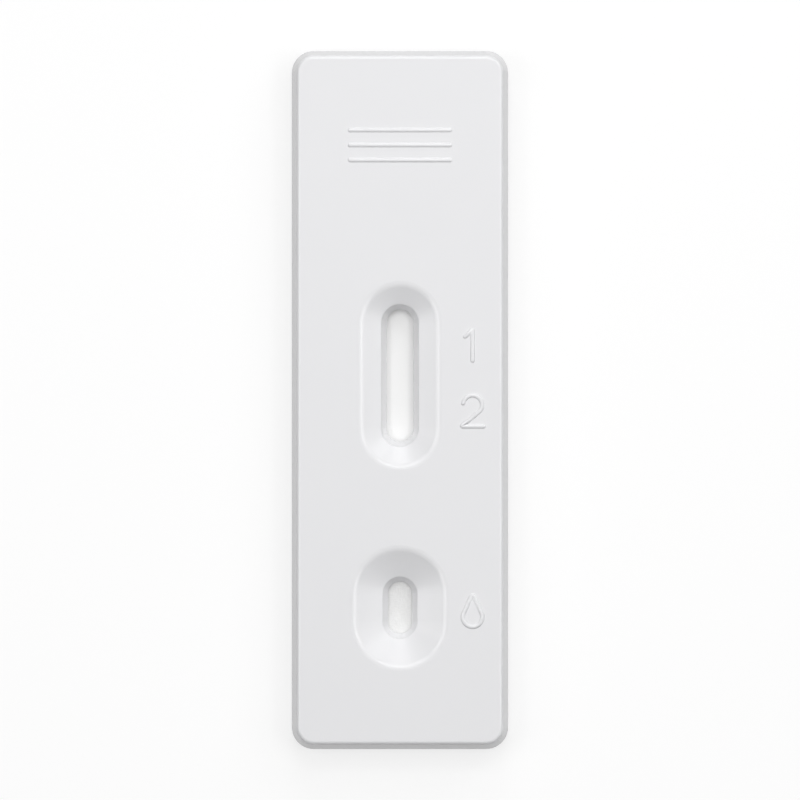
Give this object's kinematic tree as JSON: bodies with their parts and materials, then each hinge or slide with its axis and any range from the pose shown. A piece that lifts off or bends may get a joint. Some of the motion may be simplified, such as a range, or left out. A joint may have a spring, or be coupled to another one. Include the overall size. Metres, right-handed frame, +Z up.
{
  "type": "lateral flow cassette",
  "caption": "Flat white two-part test cassette with a read window, a sample well and a paper test strip inside.",
  "frame": {"origin": "middle of the underside, on the surface that the cassette lies on", "axes": "+Y along the strip, from the sample well towards the held end; +X across, to the right with the window facing the reader; +Z up out of the window"},
  "size_m": [0.0216, 0.07, 0.005],
  "materials": {
    "housing_plastic": "satin",
    "card_vinyl": "satin",
    "membrane_film": "matte",
    "conjugate_fibre": "matte",
    "sample_paper": "matte",
    "absorbent_paper": "matte"
  },
  "bodies": {
    "root": {"top_shell": "housing_plastic", "bottom_shell": "housing_plastic", "backing_card": "card_vinyl", "membrane": "membrane_film", "conjugate_pad": "conjugate_fibre", "sample_pad": "sample_paper", "absorbent_pad": "absorbent_paper"}
  },
  "joints": []
}
